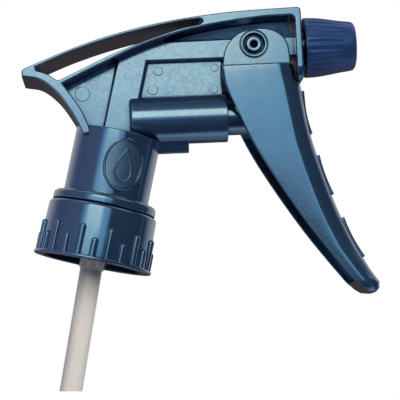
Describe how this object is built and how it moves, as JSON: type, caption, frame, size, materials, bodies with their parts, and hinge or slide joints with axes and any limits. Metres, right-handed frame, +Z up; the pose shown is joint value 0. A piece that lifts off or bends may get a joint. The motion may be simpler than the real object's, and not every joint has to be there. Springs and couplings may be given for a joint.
{
  "type": "trigger sprayer head",
  "caption": "Trigger sprayer with a threaded bottle closure, a tilted piston pump, a hinged trigger, valves, an adjustable nozzle and a dip tube.",
  "frame": {"origin": "on the gasket's lower face, at the middle of its ring's front, where the bottle's rim presses; the neck's axis is 11.3 mm behind it and the closure's bottom rim 11.1 mm below it", "axes": "+Z up along the neck and dip tube, +X toward the nozzle, +Y to the left of someone behind the sprayer looking along +X; the pump and the nozzle are tilted 14 degrees up from +X"},
  "size_m": [0.1119, 0.034, 0.1215],
  "materials": {
    "blue_plastic": "glossy moulded plastic with a metallic blue pearl",
    "natural_plastic": "milky translucent moulded plastic",
    "tube_plastic": "warm white extruded polyethylene",
    "seal_rubber": "soft matt rubber",
    "gasket_foam": "matt foamed polyethylene",
    "spring_steel": "bright stainless spring wire",
    "ball_steel": "polished stainless ball"
  },
  "bodies": {
    "head": {"body": "blue_plastic", "tube_retainer": "natural_plastic", "dip_tube": "tube_plastic", "bottle_gasket": "gasket_foam", "pivot_pin_left": "blue_plastic", "pivot_pin_right": "blue_plastic", "spinner": "natural_plastic", "return_spring": "spring_steel", "discharge_spring": "spring_steel"},
    "closure": {"closure": "blue_plastic"},
    "trigger": {"trigger": "blue_plastic"},
    "plunger": {"plunger": "blue_plastic", "piston_seal": "seal_rubber", "vent_seal": "seal_rubber"},
    "inlet_ball": {"inlet_ball": "ball_steel"},
    "discharge_ball": {"discharge_ball": "ball_steel"},
    "nozzle_slide": {"nozzle_seal": "seal_rubber"},
    "nozzle_cap": {"nozzle_cap": "blue_plastic"}
  },
  "joints": [
    {"name": "trigger_swing", "type": "hinge", "parent": "head", "child": "trigger", "pos_m": [0.02158, 0, 0.0593], "axis": [0, 1, 0], "range_deg": [0, 26]},
    {"name": "plunger_stroke", "type": "slide", "parent": "head", "child": "plunger", "axis": [-0.9703, 0, -0.2419], "range_m": [0, 0.0092], "deforming": ["return_spring"]},
    {"name": "nozzle_advance", "type": "slide", "parent": "head", "child": "nozzle_slide", "axis": [0.9703, 0, 0.2419], "range_m": [0, 0.002]},
    {"name": "nozzle_turn", "type": "hinge", "parent": "nozzle_slide", "child": "nozzle_cap", "pos_m": [0.03633, 0, 0.06298], "axis": [0.9703, 0, 0.2419], "range_deg": [0, 270]},
    {"name": "closure_spin", "type": "hinge", "parent": "head", "child": "closure", "pos_m": [-0.0113, 0, -0.0111], "axis": [0, 0, 1], "continuous": true},
    {"name": "inlet_ball_lift", "type": "slide", "parent": "head", "child": "inlet_ball", "axis": [0, 0, 1], "range_m": [0, 0.0026]},
    {"name": "discharge_ball_lift", "type": "slide", "parent": "head", "child": "discharge_ball", "axis": [0.9703, 0, 0.2419], "range_m": [0, 0.001], "deforming": ["discharge_spring"]}
  ],
  "couplings": [
    {"joint": "plunger_stroke", "follows": "trigger_swing", "m_per_rad": 0.02003},
    {"joint": "nozzle_advance", "follows": "nozzle_turn", "m_per_rad": 0.00039789}
  ]
}
